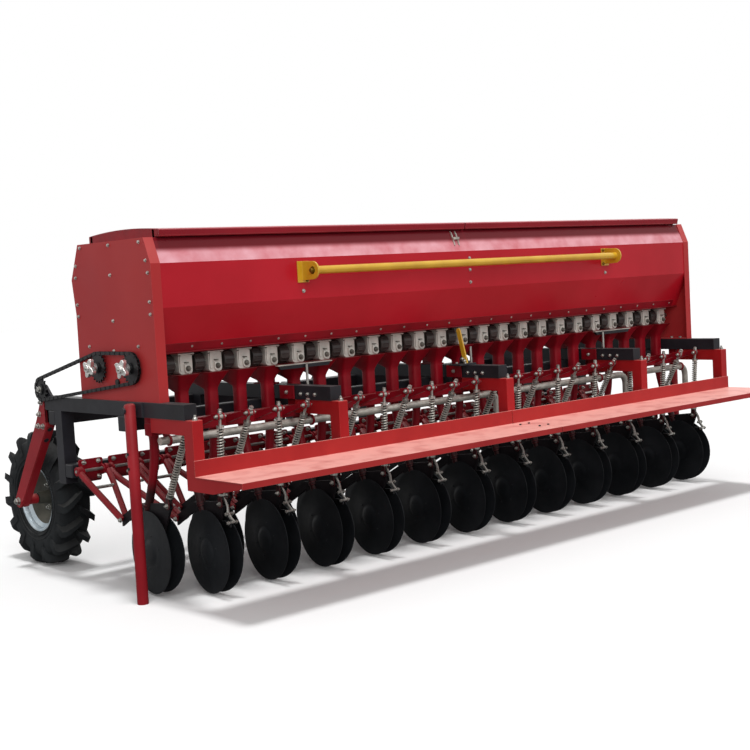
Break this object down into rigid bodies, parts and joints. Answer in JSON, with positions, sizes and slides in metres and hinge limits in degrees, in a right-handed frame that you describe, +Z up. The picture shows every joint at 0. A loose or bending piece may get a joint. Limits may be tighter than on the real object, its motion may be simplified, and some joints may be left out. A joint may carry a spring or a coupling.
{
  "type": "seed drill",
  "caption": "Tractor-mounted grain and fertiliser drill: long hopper over a row of double-disc openers, with a rear footboard, grab rail, drive wheels and parking stands.",
  "frame": {"origin": "middle of the machine's footprint, on the floor under its wheels and stands", "axes": "+X to the machine's right, along the hopper; +Y the way it travels, towards the hitch; +Z up"},
  "size_m": [3.776, 2.132, 1.5334],
  "materials": {
    "red_paint": "gloss enamel",
    "dark_red_paint": "gloss enamel in shade",
    "black_paint": "satin enamel",
    "yellow_paint": "gloss enamel",
    "zinc_steel": "zinc plated",
    "cast_aluminium": "as cast",
    "disc_steel": "dark rolled steel",
    "tyre_rubber": "matt",
    "rim_paint": "satin silver"
  },
  "bodies": {
    "drill": {"frame_rail_1": "black_paint", "frame_rail_2": "black_paint", "frame_rail_3": "black_paint", "frame_rail_4": "black_paint", "frame_rail_5": "black_paint", "front_cross_beam": "black_paint", "rear_cross_beam": "black_paint", "opener_beam": "black_paint", "headstock": "black_paint", "hopper_rear_wall": "red_paint", "hopper_front_wall": "red_paint", "hopper_floor": "dark_red_paint", "hopper_partition": "red_paint", "hopper_divider_left": "red_paint", "hopper_divider_right": "red_paint", "end_panel_left": "red_paint", "end_panel_right": "red_paint", "hopper_stay_1": "dark_red_paint", "hopper_stay_2": "dark_red_paint", "hopper_stay_3": "dark_red_paint", "metering_bank_rear": "cast_aluminium", "metering_bank_front": "cast_aluminium", "seed_funnels": "dark_red_paint", "rock_shaft": "dark_red_paint", "pressure_pipe": "zinc_steel", "opener_pair_01": "disc_steel", "opener_pair_02": "disc_steel", "opener_pair_03": "disc_steel", "opener_pair_04": "disc_steel", "opener_pair_05": "disc_steel", "opener_pair_06": "disc_steel", "opener_pair_07": "disc_steel", "opener_pair_08": "disc_steel", "opener_pair_09": "disc_steel", "opener_pair_10": "disc_steel", "opener_pair_11": "disc_steel", "opener_pair_12": "disc_steel", "wheel_arm_left": "red_paint", "wheel_arm_right": "red_paint", "footboard_left": "red_paint", "footboard_right": "red_paint", "chain_drive_left": "black_paint", "chain_drive_right": "black_paint", "footboard_bracket_1": "red_paint", "footboard_bracket_2": "red_paint", "footboard_bracket_3": "red_paint", "footboard_bracket_4": "red_paint", "footboard_bracket_5": "red_paint", "grab_rail": "yellow_paint", "rate_lever": "yellow_paint"},
    "wheel_left": {"tyre_left": "tyre_rubber", "rim_left": "rim_paint"},
    "wheel_right": {"tyre_right": "tyre_rubber", "rim_right": "rim_paint"},
    "lid_left": {"lid_left": "red_paint"},
    "lid_right": {"lid_right": "red_paint"},
    "stand_left": {"stand_left": "red_paint"},
    "stand_right": {"stand_right": "red_paint"}
  },
  "joints": [
    {"name": "wheel_spin_left", "type": "hinge", "parent": "drill", "child": "wheel_left", "pos_m": [-1.66, 0.746, 0.32], "axis": [1, 0, 0], "continuous": true},
    {"name": "wheel_spin_right", "type": "hinge", "parent": "drill", "child": "wheel_right", "pos_m": [1.66, 0.746, 0.32], "axis": [1, 0, 0], "continuous": true},
    {"name": "lid_hinge_left", "type": "hinge", "parent": "drill", "child": "lid_left", "pos_m": [-0.8745, 0.061, 1.505], "axis": [-1, 0, 0], "range_deg": [0, 100]},
    {"name": "lid_hinge_right", "type": "hinge", "parent": "drill", "child": "lid_right", "pos_m": [0.8745, 0.061, 1.505], "axis": [-1, 0, 0], "range_deg": [0, 100]},
    {"name": "stand_fold_left", "type": "hinge", "parent": "drill", "child": "stand_left", "pos_m": [-1.847, -0.364, 0.797], "axis": [-1, 0, 0], "range_deg": [0, 90]},
    {"name": "stand_fold_right", "type": "hinge", "parent": "drill", "child": "stand_right", "pos_m": [1.847, -0.364, 0.797], "axis": [-1, 0, 0], "range_deg": [0, 90]}
  ]
}
